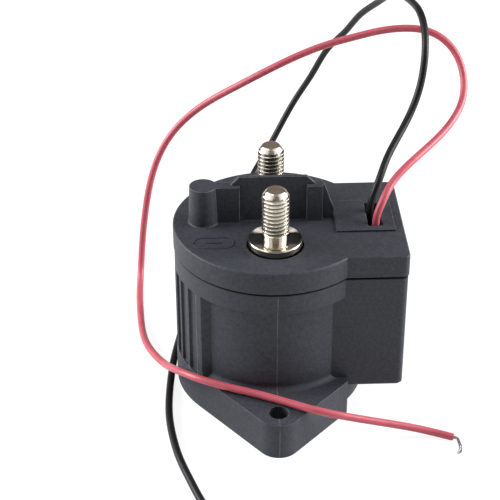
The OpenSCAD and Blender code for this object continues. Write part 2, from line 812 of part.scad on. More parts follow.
module guide_bush() {
    color(brass) translate([0, 0, plate_top - guide_bush_l])
        ring(guide_bush_r, shaft_d / 2 + slide_fit, guide_bush_l);
}

// Thin closed tube that guides the armature
module guide_sleeve() {
    color(brass) difference() {
        translate([0, 0, coil_z]) cylinder(r = sleeve_r, h = coil_h);
        translate([0, 0, cushion_z]) cylinder(r = sleeve_r - sleeve_t, h = coil_h);
    }
}

module bobbin() {
    bobbin_flange_r = cup_inner_r - fit;
    color(nylon) {
        translate([0, 0, coil_z]) ring(bobbin_r + bobbin_wall_t, bobbin_r, coil_h);
        for (z = [coil_z, plate_z - bobbin_flange_t])
            translate([0, 0, z]) ring(bobbin_flange_r, bobbin_r, bobbin_flange_t);
    }
}

module coil_winding() {
    color(copper) translate([0, 0, coil_z + bobbin_flange_t])
        ring(winding_r, bobbin_r + bobbin_wall_t + push_fit, coil_h - 2 * bobbin_flange_t);
}

// Two wires from the winding through the notch and the drum's window to the board
module coil_tails() {
    tail_d = 0.8;
    tail_z = plate_z - notch_w / 2;
    color(copper) for (side = [-1, 1])
        wire([
            [winding_r + touch, side * notch_w / 4, tail_z],
            [cavity_r, side * notch_w / 4, tail_z],
            [drum_r + fit, side * notch_w / 4, tail_z],
            [drum_r + 2, side * notch_w, tail_z + notch_w],
            [board_x - 2, side * notch_w, tail_z + 2 * notch_w],
            [board_x - touch, side * notch_w, tail_z + 2 * notch_w]
        ], tail_d);
}

// Helical spring between two heights, its ends a wire radius inside them
module coil_spring(r, wire_d, z0, z1, turns) {
    wire(helix(r, z0 + wire_d / 2, z1 - wire_d / 2, turns, helix_steps), wire_d);
}

module return_spring() {
    wire_d = 0.7;
    turns = 5;
    color(steel) coil_spring(
        spring_pocket_r - fit - wire_d / 2, wire_d,
        armature_top - armature_pocket_h + touch, pole_z + pole_pocket_h - touch, turns);
}

module armature() {
    color(steel) difference() {
        translate([0, 0, armature_z]) cylinder(d = pole_d, h = armature_top - armature_z);
        translate([0, 0, armature_z - cut])
            cylinder(d = shaft_d + 2 * push_fit, h = armature_top - armature_z + 2 * cut);
        translate([0, 0, armature_top - armature_pocket_h])
            cylinder(r = spring_pocket_r, h = armature_pocket_h + cut);
    }
}

module armature_cushion() {
    color([0.12, 0.12, 0.12]) translate([0, 0, cushion_z])
        cylinder(r = sleeve_r - sleeve_t - fit, h = cushion_t);
}

// Shaft with a groove for the retaining clip near its top
module plunger_shaft() {
    color(steel) difference() {
        translate([0, 0, armature_z + fit]) cylinder(d = shaft_d, h = shaft_top - armature_z - fit);
        translate([0, 0, clip_z - touch]) ring(shaft_d, clip_inner_r - push_fit, clip_t + 2 * touch);
    }
}

module spring_seat() {
    color(steel) translate([0, 0, seat_z]) ring(spring_seat_r, shaft_d / 2 + push_fit, seat_t);
}

module contact_spring() {
    wire_d = 0.9;
    turns = 3;
    color(steel) coil_spring(
        spring_seat_r - fit - wire_d / 2, wire_d, spring_z + touch, spring_top - touch, turns);
}

// Insulating bush that carries the bridge on the shaft
module bridge_bush() {
    color(nylon) {
        translate([0, 0, spring_top]) ring(spring_seat_r, shaft_d / 2 + slide_fit, bush_flange_t);
        translate([0, 0, spring_top])
            ring(bush_r, shaft_d / 2 + slide_fit, bridge_top + bush_proud - spring_top);
    }
}

module contact_bridge() {
    color(copper) translate([0, 0, bridge_z]) linear_extrude(bridge_t) difference() {
        round_rect(bridge_w, 2 * bridge_half_l, bridge_w / 2 - touch);
        circle(bush_r + push_fit);
    }
}

module bridge_contact_tips() {
    color(silver) at_studs() translate([0, 0, bridge_top]) cylinder(d = tip_d, h = tip_t);
}

// Spring clip in the shaft's groove
module retaining_clip() {
    color(steel) translate([0, 0, clip_z]) difference() {
        ring(clip_inner_r + clip_w, clip_inner_r, clip_t);
        translate([0, -clip_inner_r, -cut]) cube([shaft_d * 2, 2 * clip_inner_r, clip_t + 2 * cut]);
    }
}

module economiser_board() {
    color([0.1, 0.32, 0.2]) translate([board_x, -board_w / 2, box_floor_z]) cube([board_t, board_w, board_h]);
}

// Parts on the board's inner face: two capacitors, a choke, a switching transistor and a diode
module board_parts() {
    capacitor_d = 6.3;
    capacitor_h = 5.4;
    capacitor_y = 12.5;
    choke_d = 8;
    choke_h = 3.2;
    transistor = [2.3, 6.6, 6.1];
    diode = [2.2, 5.9, 4];
    low_row = board_h * 0.3;
    high_row = board_h * 0.65;
    color([0.2, 0.2, 0.22]) translate([board_x, 0, box_floor_z]) {
        for (side = [-1, 1])
            translate([0, side * capacitor_y, high_row]) rotate([0, -90, 0])
                cylinder(d = capacitor_d, h = capacitor_h);
        translate([0, 0, low_row]) rotate([0, -90, 0]) cylinder(d = choke_d, h = choke_h);
        translate([-transistor[0], -capacitor_y - transistor[1] / 2, low_row]) cube(transistor);
        translate([-diode[0], capacitor_y - diode[1] / 2, low_row]) cube(diode);
    }
}

module red_lead() {
    color([0.8, 0.27, 0.33]) wire(red_route, lead_d);
}

module red_lead_strands() {
    color(silver) wire(red_strand_route, strand_d);
}

module black_lead() {
    color([0.12, 0.12, 0.13]) wire(black_route, lead_d);
}

module black_lead_strands() {
    color(silver) wire(black_strand_route, strand_d);
}

case();
lid();
wire_cover();
front_stud();
rear_stud();
stud_braze_rings();
fixed_contact_tips();
arc_chamber();
seal_frame();
insulator_tray();
blowout_magnets();
magnet_keepers();
magnet_holder();
exhaust_tube();
yoke_plate();
yoke_cup();
pole_piece();
guide_bush();
guide_sleeve();
bobbin();
coil_winding();
coil_tails();
return_spring();
armature();
armature_cushion();
plunger_shaft();
spring_seat();
contact_spring();
bridge_bush();
contact_bridge();
bridge_contact_tips();
retaining_clip();
economiser_board();
board_parts();
red_lead();
red_lead_strands();
black_lead();
black_lead_strands();
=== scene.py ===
"""Looks of a high voltage direct current contactor: threaded studs, leads, springs and finishes."""
import json
import math

import bpy
import numpy as np
from mathutils import Matrix, Vector


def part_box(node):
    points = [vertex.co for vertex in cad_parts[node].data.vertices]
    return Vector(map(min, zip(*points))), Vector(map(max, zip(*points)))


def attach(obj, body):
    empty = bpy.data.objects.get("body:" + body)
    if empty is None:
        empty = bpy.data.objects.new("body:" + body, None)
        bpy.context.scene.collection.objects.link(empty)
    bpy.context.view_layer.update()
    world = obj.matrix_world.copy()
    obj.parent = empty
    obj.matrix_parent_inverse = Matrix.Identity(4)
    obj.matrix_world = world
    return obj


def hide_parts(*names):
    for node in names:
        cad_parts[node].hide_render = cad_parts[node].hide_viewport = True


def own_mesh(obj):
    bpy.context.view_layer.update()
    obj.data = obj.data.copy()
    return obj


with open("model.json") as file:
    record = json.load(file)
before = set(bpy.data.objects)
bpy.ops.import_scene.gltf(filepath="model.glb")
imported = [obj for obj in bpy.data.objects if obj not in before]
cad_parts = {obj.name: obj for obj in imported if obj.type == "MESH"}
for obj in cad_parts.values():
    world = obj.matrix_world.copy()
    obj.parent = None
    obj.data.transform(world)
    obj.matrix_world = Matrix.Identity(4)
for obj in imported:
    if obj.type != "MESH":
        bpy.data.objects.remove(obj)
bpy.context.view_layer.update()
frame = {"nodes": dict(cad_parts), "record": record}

bl_info = {
    "name": "Contactor looks",
    "version": (1, 0, 0),
    "blender": (4, 5, 0),
    "location": "3D View > Sidebar > Contactor",
    "description": "Dresses the contactor's solids with threads, leads, springs and finishes",
    "category": "Object",
}

MM = 0.001
PHOTO_PX = 500
SENSOR_MM = 36.0
HOUSING = "housing"
PLUNGER = "plunger"

# How finely the surfaces are laid out
LEAD_STEP = 0.9 * MM
LEAD_COLUMNS = 20
STRAND_STEP = 0.12 * MM
STRAND_COLUMNS = 8
OUTER_STRANDS = 6
STUD_COLUMNS = 120
THREAD_STEP = 0.045 * MM
BEVEL_ROWS = 7
TIP_ROWS = 18
SPRING_ROWS_A_TURN = 40
SPRING_COLUMNS = 12
MARK_COLUMNS = 96

# The thread's height over one pitch, from root 0 to crest 1: straight flanks, cut off flat at both
CREST_HEIGHT = 1.24
FLANK_SLOPE = 3.1
# How full the round of a stud's tip is, where 1 is a cone
TIP_ROUND = 1.45
# Size of the small middle ring at the ends of a stud, as a share of the end's radius
END_RING = 0.3
# Width of a lead's last ring, as a share of its own
CUT_END = 0.9
# Height of a stud's first ring above its lug seat
NECK_START = 0.03 * MM
# Spread of the outer strands at the lead, and its gain up to the tip, as shares of the set one
SPREAD_START = 0.9
SPREAD_GAIN = 0.5
# Length of the shortest outer strand, as a share of the middle one's
SHORTEST_STRAND = 0.86
# Turns of the two springs
RETURN_TURNS = 5
CONTACT_TURNS = 3
# Any direction that no lead, strand or spring starts along
START_ASIDE = (0.3, 0.2, 0.9)

# Painted shade of the polarity mark: the rim's at its front, the rim's gain to its rear, and the
# bar's
RIM_SHADE = 0.12
RIM_SHADE_GAIN = 0.75
BAR_SHADE = 0.8
# Where the gain starts before the mark's middle, and the bar's reach, in half widths of the mark
GAIN_START = 0.1
BAR_REACH = 0.3

# Tones: painted shade for the lid's joint and the mark, dust, tarnish, painted shade in the thread's
# grooves, a painted dark reflection on the lug seat's side, painted shade between wire turns
PAINTED_SHADE = (0.004, 0.004, 0.005)
DUST = (0.5, 0.5, 0.5)
TARNISH = (0.52, 0.45, 0.36)
GROOVE_SHADE = (0.05, 0.042, 0.03)
SEAT_SIDE_REFLECTION = (0.05, 0.045, 0.04)
WIRE_HOLLOW_SHADE = (0.12, 0.04, 0.015)

# Inner pieces of metal: nodes, finish, colour, scale of its marks, least and most roughness
INNER_METALS = (
    (
        ("yoke_plate", "yoke_cup", "pole_piece", "armature", "magnet_keepers"),
        "soft_iron", "iron", 1800.0, 0.35, 0.55,
    ),
    (
        ("plunger_shaft", "spring_seat", "retaining_clip", "seal_frame"),
        "stainless_steel", "steel", 2600.0, 0.2, 0.36,
    ),
    (("blowout_magnets",), "magnet_coating", "iron", 900.0, 0.25, 0.4),
    (("contact_bridge", "exhaust_tube"), "bare_copper", "copper", 2000.0, 0.24, 0.42),
    (("guide_bush", "guide_sleeve"), "turned_bronze", "bronze", 2400.0, 0.25, 0.4),
    (
        ("fixed_contact_tips", "bridge_contact_tips", "stud_braze_rings"),
        "silver_alloy", "silver", 2200.0, 0.3, 0.5,
    ),
    (("coil_tails",), "enamelled_wire", "winding", 2400.0, 0.28, 0.45),
)
# Other inner pieces: nodes, finish, colour, scale of its grain, least and most roughness, specular
INNER_SOLIDS = (
    (("arc_chamber",), "fired_alumina", "alumina", 2600.0, 0.4, 0.55, 0.5),
    (
        ("insulator_tray", "magnet_holder", "bobbin", "bridge_bush"),
        "natural_nylon", "nylon", 1800.0, 0.4, 0.55, 0.45,
    ),
    (("armature_cushion",), "soft_rubber", "rubber", 1600.0, 0.7, 0.85, 0.3),
    (("economiser_board",), "solder_mask", "mask", 1500.0, 0.3, 0.42, 0.5),
    (("board_parts",), "component_bodies", "parts", 2400.0, 0.45, 0.6, 0.45),
)

# Soft lamps: name, place, target and side in metres, watts
LAMPS = (
    ("left_softbox", (-0.75, 0.13, 0.36), (0, 0, 0.03), 0.5, 10.0),
    ("right_softbox", (0.75, 0.03, 0.32), (0, 0, 0.03), 0.5, 11.6),
    ("top_softbox", (-0.15, 0.0, 0.95), (0, 0, 0.04), 0.6, 2.3),
)
# Dim cards that show in gloss: name, reach along x, y and z in metres, colour
CARDS = (
    ("front_card", (-0.5, 0.5), (-0.75, -0.75), (0.0, 1.1), (0.18, 0.15, 0.125)),
    ("rear_card", (-0.5, 0.5), (0.8, 0.8), (0.15, 1.3), (0.2, 0.168, 0.14)),
    ("rear_left_card", (-1.05, -0.5), (0.8, 0.8), (0.0, 1.2), (0.03, 0.027, 0.024)),
    ("rear_right_card", (0.5, 1.05), (0.8, 0.8), (0.0, 1.2), (0.03, 0.027, 0.024)),
    ("top_card", (-0.22, 0.22), (-0.5, 0.7), (0.8, 0.8), (0.22, 0.18, 0.15)),
)
# Light of the surroundings where they aren't seen, and the floor's glow where it is
WHITE = (1.0, 1.0, 1.0)
WORLD_LIGHT = 0.08
FLOOR_COLOUR = (0.85, 0.85, 0.85)
FLOOR_GLOW = 1.2
FLOOR_GLOW_SHARE = 0.72
FLOOR_HALF = 3.0

# Routes of the leads in millimetres, as in the solids, from the board to the bare ends
RED_ROUTE = [
    (33, -3.5, 41), (32.6, -3.5, 46), (31, -3.5, 51.5),
    (30.5, -3.5, 56.5), (32.2, -2, 61.1), (35, 2, 64.5), (41, 8, 68.2),
    (49.9, 17, 71.2), (57.3, 26.5, 74.3), (60.9, 34, 78.1), (61.3, 39, 82.6),
    (58.7, 43.5, 88.8), (51.9, 46.5, 93.7), (42.1, 48.5, 94.4), (35.1, 49.5, 93.1),
    (28.3, 50, 91.2), (20.1, 50, 88.9), (10.4, 49.5, 85.3), (-8.9, 52, 73.9),
    (-22.8, 56.5, 62.9), (-29.8, 56.5, 55.7), (-34.7, 55.5, 47.8), (-37.9, 54, 39),
    (-40.1, 53, 28), (-42, 54, 12), (-42.6, 51.5, 5), (-42.9, 44, 1.5),
    (-42.5, 32.5, 1.2), (-41.5, 20, 1.5), (-39, 8, 3.2), (-34.1, -4.5, 6.1),
    (-29.1, -16, 11.4), (-23.1, -23, 13.6), (-14.1, -27.4, 13.4), (-5.2, -31, 13.1),
    (3.1, -35.2, 13.1), (11.5, -39.4, 13.1), (20.7, -39, 10.2), (29.9, -37.3, 6.7),
    (39.5, -36.2, 3.5), (46.5, -36.5, 1.6), (52, -38.5, 1.2),
]
RED_STRAND_ROUTE = [
    (52, -38.5, 1.2), (52.75, -38.773, 1.145), (53.3, -40.6, 1), (53.4, -43, 0.8),
    (52.6, -45.5, 0.7),
]
BLACK_ROUTE = [
    (33, 3, 41), (32.6, 3, 46), (29.8, 3, 51.5),
    (29.5, 3.5, 57), (32, 6.5, 63.5), (35.1, 13, 67.7), (39.5, 20, 72),
    (43.1, 25, 76.2), (45.8, 28.5, 81.6), (47.5, 31.5, 88.5), (48.2, 35, 94.5),
    (48.4, 40, 98), (48, 47, 100), (47, 56.5, 99.5), (45.2, 66, 98.1),
    (42.8, 77, 94.1), (40, 88, 86.8), (34.9, 98, 77.7), (30.7, 105, 68.4),
    (25.7, 110, 60.3), (20, 114, 47.6), (14.9, 115.5, 38.1), (9.8, 114.5, 28.8),
    (5.6, 111.5, 21.9), (1.8, 106.5, 17.7), (-1.5, 101, 14.7), (-6.5, 92.5, 9),
    (-11.5, 82, 4), (-15.5, 70, 1.6), (-19.5, 57, 1.2), (-24, 42, 1.2),
    (-29.5, 15, 1.2), (-31.1, 4.5, 1.2), (-32, -5.5, 1.2), (-32.5, -15.5, 1.2),
    (-32.4, -25, 1.2), (-31, -36.5, 1.2), (-29.2, -45, 1.2), (-26.4, -54, 1.2),
    (-23.3, -63, 1.2), (-22.3, -65.5, 1.2),
]
BLACK_STRAND_ROUTE = [
    (-22.3, -65.5, 1.2), (-21.8, -66.54, 1.2), (-20.6, -68.6, 1), (-19, -70.7, 0.8),
]


def length_prop(name, description, default_mm):
    """A length in metres, given in millimetres."""
    return bpy.props.FloatProperty(
        name=name, description=description, default=default_mm * MM, unit="LENGTH", precision=5
    )


def colour_prop(name, description, default):
    """A linear colour."""
    return bpy.props.FloatVectorProperty(
        name=name, description=description, default=default, subtype="COLOR", size=3,
        min=0.0, max=1.0,
    )


class ContactorCamera(bpy.types.PropertyGroup):
    """Place of the camera that took the photograph, fitted to the mounting holes and the studs."""

    focal_px: bpy.props.FloatProperty(
        name="Focal length", description="Focal length in pixels of the photograph",
        default=1489.205,
    )
    distance: length_prop("Distance", "Distance from the camera to its target", 450.063)
    elevation: bpy.props.FloatProperty(
        name="Elevation", description="Angle of the view above the floor",
        default=math.radians(32.105), unit="ROTATION",
    )
    azimuth: bpy.props.FloatProperty(
        name="Azimuth", description="Angle of the view round the vertical axis",
        default=math.radians(-2.145), unit="ROTATION",
    )
    roll: bpy.props.FloatProperty(
        name="Roll", description="Turn of the camera about its line of sight",
        default=math.radians(-0.178), unit="ROTATION",
    )
    target_x: length_prop("Target X", "Sideways place of the point in the picture's middle", -6.888)
    target_z: length_prop("Target Z", "Height of the point in the picture's middle", 44.285)


class ContactorSizes(bpy.types.PropertyGroup):
    """Sizes of the pieces that are made here."""

    lead_d: length_prop("Lead diameter", "Outer diameter of a lead", 2.3)
    strand_d: length_prop("Strand diameter", "Diameter of one bare strand", 0.3)
    strand_spread: length_prop("Strand spread", "Distance of outer strands from the middle", 0.34)
    strand_lay: length_prop("Strand lay", "Length in which the strands turn once", 9.0)
    thread_pitch: length_prop("Thread pitch", "Pitch of the terminal thread", 1.25)
    thread_depth: length_prop("Thread depth", "Height of the terminal thread", 0.77)
    thread_out: length_prop("Thread run-out", "Length in which the thread fades into the neck", 0.8)
    neck_d: length_prop("Neck diameter", "Diameter of the neck between lug seat and thread", 6.8)
    shank_d: length_prop("Shank diameter", "Diameter of a stud's shank inside the chamber", 9.0)
    tip_flat_d: length_prop("Tip flat", "Diameter of the flat at a stud's tip", 5.0)
    seat_bevel: length_prop("Seat bevel", "Width of the round edge of a stud's lug seat", 0.42)
    return_wire: length_prop("Return spring wire", "Wire diameter of the return spring", 0.7)
    contact_wire: length_prop("Contact spring wire", "Wire diameter of the contact spring", 0.9)
    cover_proud: length_prop("Cover height", "Height of the wire cover's top above the lid", 0.6)
    mark_x: length_prop("Mark X", "Sideways place of the polarity mark's middle", -17.9)
    mark_y: length_prop("Mark Y", "Place of the polarity mark's middle along the studs", -12.3)
    mark_l: length_prop("Mark length", "Length of the polarity mark's rim", 11.8)
    mark_w: length_prop("Mark width", "Width of the polarity mark's rim", 5.7)
    mark_proud: length_prop("Mark height", "Height of the polarity mark above the lid", 0.1)
    mark_line: length_prop("Mark line", "Width of the polarity mark's rim line", 0.55)
    bar_l: length_prop("Bar length", "Length of the bar in the polarity mark", 4.8)
    bar_w: length_prop("Bar width", "Width of the bar in the polarity mark", 0.75)


class ContactorColours(bpy.types.PropertyGroup):
    """Colours of the finishes."""

    plastic: colour_prop("Plastic", "Charcoal moulding", (0.021, 0.0238, 0.032))
    plastic_light: colour_prop("Light plastic", "Flow marks and grain", (0.06, 0.065, 0.08))
    # Painted highlight for sharp edges and the parting line
    plastic_highlight: colour_prop("Plastic edge", "Sharp edges and the parting line", (0.4, 0.41, 0.43))
    nickel: colour_prop("Nickel", "Warm nickel plate of the studs", (0.79, 0.75, 0.67))
    red: colour_prop("Red lead", "Insulation of the red lead", (0.54, 0.1, 0.134))
    red_cloud: colour_prop("Red lead's clouds", "Darker places of that lead", (0.38, 0.05, 0.072))
    black: colour_prop("Black lead", "Insulation of the black lead", (0.006, 0.006, 0.0075))
    black_cloud: colour_prop("Black lead's clouds", "Its paler places", (0.011, 0.011, 0.013))
    tin: colour_prop("Tinned wire", "Bare strands", (0.38, 0.38, 0.385))
    iron: colour_prop("Soft iron", "Magnet circuit", (0.34, 0.35, 0.37))
    steel: colour_prop("Stainless steel", "Shaft, clip and springs", (0.46, 0.46, 0.47))
    copper: colour_prop("Copper", "Bridge and tube", (0.72, 0.36, 0.2))
    winding: colour_prop("Winding", "Enamelled wire", (0.5, 0.2, 0.075))
    bronze: colour_prop("Bronze", "Bush and sleeve", (0.6, 0.42, 0.16))
    silver: colour_prop("Silver", "Contact tips", (0.78, 0.78, 0.77))
    alumina: colour_prop("Alumina", "Arc chamber", (0.82, 0.79, 0.72))
    nylon: colour_prop("Nylon", "Former, tray and bush", (0.68, 0.64, 0.52))
    rubber: colour_prop("Rubber", "Cushion", (0.015, 0.015, 0.015))
    mask: colour_prop("Board", "Solder mask of the board", (0.012, 0.11, 0.045))
    parts: colour_prop("Board parts", "Bodies of the board's parts", (0.03, 0.03, 0.034))


class ContactorLooks(bpy.types.PropertyGroup):
    """Everything that a user would change."""

    camera: bpy.props.PointerProperty(type=ContactorCamera)
    sizes: bpy.props.PointerProperty(type=ContactorSizes)
    colours: bpy.props.PointerProperty(type=ContactorColours)


def looks(context):
    """The scene's own settings."""
    return context.scene.contactor_looks


# Surfaces


def spline_path(points, spacing):
    """One smooth line through the points: a natural cubic spline over their chord length.

    The bend at each point solves the usual three-term equations. Samples lie evenly on the chord.
    """
    points = np.asarray(points, float)
    chord = np.linalg.norm(np.diff(points, axis=0), axis=1)
    knots = np.concatenate([[0.0], np.cumsum(chord)])
    count = len(points)
    system = np.zeros((count, count))
    right = np.zeros((count, 3))
    system[0, 0] = system[-1, -1] = 1.0
    inner = np.arange(1, count - 1)
    system[inner, inner - 1] = chord[:-1]
    system[inner, inner] = 2.0 * (chord[:-1] + chord[1:])
    system[inner, inner + 1] = chord[1:]
    slope = np.diff(points, axis=0) / chord[:, None]
    right[inner] = 6.0 * np.diff(slope, axis=0)
    bend = np.linalg.solve(system, right)
    at = np.linspace(0.0, knots[-1], max(8, int(knots[-1] / spacing)))
    span = np.clip(np.searchsorted(knots, at, side="right") - 1, 0, count - 2)
    h = chord[span][:, None]
    after = (at - knots[span])[:, None]
    before = h - after
    return (
        bend[span] * before**3 / (6.0 * h)
        + bend[span + 1] * after**3 / (6.0 * h)
        + (points[span] / h - bend[span] * h / 6.0) * before
        + (points[span + 1] / h - bend[span + 1] * h / 6.0) * after
    )


def path_axes(path):
    """Side and rise at each point of a line, square to it and carried along so that nothing twists.

    Each point takes the side before it, less the part along its own direction. Those steps are
    matrices, and doubling their reach multiplies each by all before it.
    """
    forward = np.gradient(path, axis=0)
    forward /= np.linalg.norm(forward, axis=1)[:, None]
    carry = np.eye(3) - forward[:, :, None] * forward[:, None, :]
    reach = 1
    while reach < len(carry):
        carry[reach:] = carry[reach:] @ carry[:-reach]
        reach *= 2
    side = carry @ np.cross(forward[0], START_ASIDE)
    side /= np.linalg.norm(side, axis=1)[:, None]
    return side, np.cross(forward, side)


def distance_along(path):
    """Length of the line up to each of its points."""
    steps = np.linalg.norm(np.diff(path, axis=0), axis=1)
    return np.concatenate([[0.0], np.cumsum(steps)])


def tube_points(path, radius, columns):
    """Circles square to the line: each point plus radius times (cos a side + sin a rise).

    The radius is one number, or one for each point.
    """
    side, rise = path_axes(path)
    angle = np.linspace(0.0, 2.0 * np.pi, columns, endpoint=False)[None, :, None]
    around = np.cos(angle) * side[:, None] + np.sin(angle) * rise[:, None]
    return path[:, None] + np.broadcast_to(radius, len(path))[:, None, None] * around


def ring_quads(rows, columns, bands):
    """Quads between neighbouring rings; with as many bands as rows, the last joins the first."""
    row, column = np.meshgrid(np.arange(bands), np.arange(columns), indexing="ij")
    above = (row + 1) % rows
    beside = (column + 1) % columns
    corners = ((row, column), (row, beside), (above, beside), (above, column))
    return np.stack([ring * columns + place for ring, place in corners], axis=-1).reshape(-1, 4)


def closed_grid(rings):
    """Points and faces of a skin over rows of closed rings, each end a fan round its middle."""
    rows, columns = rings.shape[:2]
    ends = [rings[0].mean(0)[None], rings[-1].mean(0)[None]]
    points = np.concatenate([rings.reshape(-1, 3), *ends])
    ring = np.arange(columns)
    turned = (ring + 1) % columns
    last = (rows - 1) * columns
    first_middle = np.full(columns, rows * columns)
    first_fan = np.stack([turned, ring, first_middle], axis=-1)
    last_fan = np.stack([last + ring, last + turned, first_middle + 1], axis=-1)
    return points, [ring_quads(rows, columns, rows - 1), first_fan, last_fan]


def grid_uv(rows, columns, lengths):
    """Place of each grid point round the ring, from 0 to 1, and along the piece, in metres."""
    around = np.tile(np.arange(columns) / columns, rows)
    along = np.repeat(lengths, columns)
    ends = [[0.5, lengths[0]], [0.5, lengths[-1]]]
    return np.concatenate([np.stack([around, along], axis=-1), ends])


def add_piece(name, points, faces, material, sharp_angle, uv=None):
    """A mesh object at the origin with its place in its points, smooth but for edges past an angle.

    The faces are arrays of point numbers, one array for each kind. The angle is in degrees.
    """
    mesh = bpy.data.meshes.new(name)
    mesh.from_pydata(points.tolist(), [], sum((kind.tolist() for kind in faces), []))
    mesh.validate()
    mesh.shade_smooth()
    mesh.set_sharp_from_angle(angle=math.radians(sharp_angle))
    if uv is not None:
        corner = np.empty(len(mesh.loops), np.int32)
        mesh.loops.foreach_get("vertex_index", corner)
        layer = mesh.uv_layers.new(name="along")
        layer.data.foreach_set("uv", uv[corner].astype(np.float32).ravel())
    mesh.materials.append(material)
    piece = bpy.data.objects.new(name, mesh)
    bpy.context.scene.collection.objects.link(piece)
    return piece


def add_attribute(piece, name, values):
    """One number for each point of a piece, which its finish reads."""
    attribute = piece.data.attributes.new(name, "FLOAT", "POINT")
    attribute.data.foreach_set("value", values.astype(np.float32))


def join_grids(grids):
    """Several skins as one: their points in a row, and their faces' numbers moved on to match."""
    starts = np.cumsum([0] + [len(points) for points, _ in grids])
    faces = [kind + start for (_, kinds), start in zip(grids, starts) for kind in kinds]
    return np.concatenate([points for points, _ in grids]), faces


# Finishes


class Finish:
    """A material's node tree, with short calls to add nodes and to join them."""

    def __init__(self, name):
        self.material = bpy.data.materials.new(name)
        self.material.use_nodes = True
        self.tree = self.material.node_tree
        self.tree.nodes.clear()
        self.output = self.tree.nodes.new("ShaderNodeOutputMaterial")

    def node(self, kind, settings=None, **sockets):
        """A node with its settings and sockets; a socket takes a value or another node's output."""
        node = self.tree.nodes.new(kind)
        for key, value in (settings or {}).items():
            setattr(node, key, value)
        for key, value in sockets.items():
            self.set(node.inputs[key.replace("_", " ")], value)
        return node

    def set(self, socket, value):
        """Joins an output to a socket, or writes a value there."""
        if isinstance(value, bpy.types.NodeSocket):
            self.tree.links.new(value, socket)
        else:
            socket.default_value = value

    def math(self, operation, first, second=0.0):
        """A sum, product, comparison or the like of two numbers."""
        node = self.node("ShaderNodeMath", {"operation": operation})
        self.set(node.inputs[0], first)
        self.set(node.inputs[1], second)
        return node.outputs[0]

    def ramp(self, value, low, high, low_to=0.0, high_to=1.0):
        """A number moved from one range to another, and held at its ends."""
        node = self.node("ShaderNodeMapRange", {"clamp": True})
        for place, number in enumerate((value, low, high, low_to, high_to)):
            self.set(node.inputs[place], number)
        return node.outputs[0]

    def mix(self, factor, first, second):
        """A blend of two colours."""
        node = self.node("ShaderNodeMix", {"data_type": "RGBA"})
        self.set(node.inputs[0], factor)
        self.set(node.inputs[6], first)
        self.set(node.inputs[7], second)
        return node.outputs[2]

    def coordinates(self, kind="Object"):
        """Object coordinates in metres, or the piece's own map."""
        return self.node("ShaderNodeTexCoord").outputs[kind]

    def stretched(self, vector, scale):
        """Coordinates scaled on each axis."""
        return self.node("ShaderNodeMapping", Vector=vector, Scale=scale).outputs[0]

    def noise(self, vector, scale, detail=2.0, roughness=0.5):
        """Soft noise from 0 to 1, in cells as wide as one unit of its coordinates over scale."""
        return self.node(
            "ShaderNodeTexNoise", Vector=vector, Scale=scale, Detail=detail, Roughness=roughness
        ).outputs[0]

    def bump(self, height, distance, strength=1.0, normal=None):
        """A normal from a height field."""
        node = self.node("ShaderNodeBump", Height=height, Distance=distance, Strength=strength)
        if normal is not None:
            self.set(node.inputs["Normal"], normal)
        return node.outputs[0]

    def attribute(self, name):
        """A number that the piece carries on its points."""
        return self.node("ShaderNodeAttribute", {"attribute_name": name}).outputs["Fac"]

    def product(self, first, *others):
        """Several numbers multiplied."""
        for other in others:
            first = self.math("MULTIPLY", first, other)
        return first

    def end(self, shader):
        """The shader that ends the tree."""
        self.set(self.output.inputs[0], shader.outputs[0])
        return self.material

    def surface(self, **sockets):
        """A principled shader that ends the tree."""
        return self.end(self.node("ShaderNodeBsdfPrincipled", **sockets))


def rgba(colour):
    """A colour with full cover."""
    return (*colour, 1.0)


